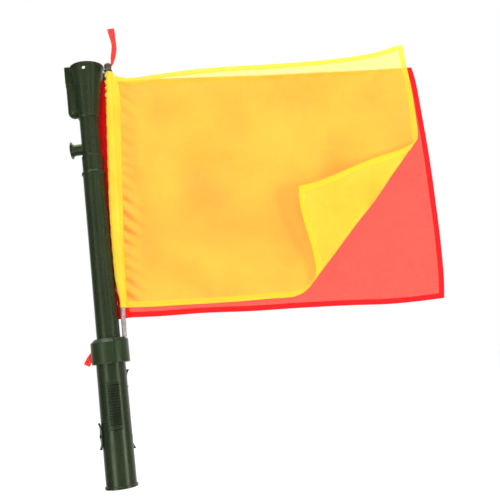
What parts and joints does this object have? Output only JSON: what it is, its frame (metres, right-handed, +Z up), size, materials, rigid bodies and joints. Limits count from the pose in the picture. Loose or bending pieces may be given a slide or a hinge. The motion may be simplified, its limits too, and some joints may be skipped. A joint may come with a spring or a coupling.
{
  "type": "hand signal flag set",
  "caption": "Hand signal flag set: tube holder with horn and whistle head, grip barrel, rod collar and cloth flags on slim rods.",
  "frame": {"origin": "centre of the foot cap's lower face", "axes": "+Z up the tube's axis to the horn, +X to the side the flags hang on, -Y to the front"},
  "size_m": [0.4953, 0.0523, 0.617],
  "materials": {
    "moulded_green": "injection-moulded dark olive green plastic, glossy",
    "band_green": "matte green plastic band",
    "pad_green": "dark green moulded rubber grip",
    "inner_plastic": "black-green inner plastic",
    "seal_rubber": "black rubber",
    "screw_steel": "zinc-plated steel",
    "cleat_plastic": "dark olive-brown plastic",
    "brass_reed": "spring brass",
    "rod_aluminium": "satin aluminium tube",
    "knob_plastic": "dark olive-brown moulded knob",
    "yellow_cloth": "thin translucent yellow nylon",
    "red_cloth": "thin translucent red nylon",
    "red_ribbon": "woven red ribbon"
  },
  "bodies": {
    "holder": {"case_tube": "moulded_green", "tube_spacer_low": "inner_plastic", "tube_spacer_top": "inner_plastic", "handle_shell": "moulded_green", "front_grip_pad": "pad_green", "back_grip_pad": "pad_green", "rod_socket_collar": "band_green", "collar_band": "band_green", "collar_screw": "screw_steel", "cord_cleat_short": "cleat_plastic", "cord_cleat_long": "cleat_plastic", "cleat_screws": "screw_steel", "collar_ribbon": "red_ribbon"},
    "foot_cap": {"end_cap": "moulded_green", "end_cap_seal": "seal_rubber"},
    "horn_plug": {"joint_sleeve": "moulded_green", "spigot_seal": "seal_rubber", "air_stop_disc": "inner_plastic"},
    "horn_head": {"horn_neck": "moulded_green", "neck_seal": "seal_rubber", "mouthpiece": "moulded_green", "reed_block": "inner_plastic", "reed_screw": "screw_steel", "horn_bell": "moulded_green", "whistle_body": "moulded_green", "whistle_fipple": "inner_plastic"},
    "reed": {"reed_tongue": "brass_reed"},
    "yellow_rod_set": {"yellow_rod": "rod_aluminium", "yellow_rod_foot": "rod_aluminium", "yellow_rod_cap": "knob_plastic", "top_ribbon": "red_ribbon"},
    "yellow_flag": {"yellow_cloth": "yellow_cloth"},
    "red_rod_set": {"red_rod": "rod_aluminium", "red_rod_foot": "rod_aluminium", "red_rod_cap": "knob_plastic"},
    "red_flag": {"red_cloth": "red_cloth"}
  },
  "joints": [
    {"name": "foot_cap_pull", "type": "slide", "parent": "holder", "child": "foot_cap", "axis": [0, 0, -1], "range_m": [0, 0.016]},
    {"name": "horn_pull", "type": "slide", "parent": "holder", "child": "horn_plug", "axis": [0, 0, 1], "range_m": [0, 0.032]},
    {"name": "horn_turn", "type": "hinge", "parent": "horn_plug", "child": "horn_head", "pos_m": [0, 0, 0.428], "axis": [0, 0, 1], "range_deg": [-75, 75]},
    {"name": "reed_flex", "type": "hinge", "parent": "horn_head", "child": "reed", "pos_m": [-0.0019, 0, 0.4636], "axis": [0, 1, 0], "range_deg": [-2, 2], "stiffness_Nm_per_rad": 0.05},
    {"name": "yellow_rod_lift", "type": "slide", "parent": "holder", "child": "yellow_rod_set", "axis": [0.0305, 0, 0.9995], "range_m": [0, 0.026]},
    {"name": "yellow_flag_swing", "type": "hinge", "parent": "yellow_rod_set", "child": "yellow_flag", "pos_m": [0.0221, -0.005, 0.188], "axis": [0.0305, 0, 0.9995], "range_deg": [-120, 0]},
    {"name": "red_rod_lift", "type": "slide", "parent": "holder", "child": "red_rod_set", "axis": [0.0071, 0.0479, 0.9988], "range_m": [0, 0.026]},
    {"name": "red_flag_swing", "type": "hinge", "parent": "red_rod_set", "child": "red_flag", "pos_m": [0.0201, 0.005, 0.188], "axis": [0.0071, 0.0479, 0.9988], "range_deg": [0, 120]}
  ]
}
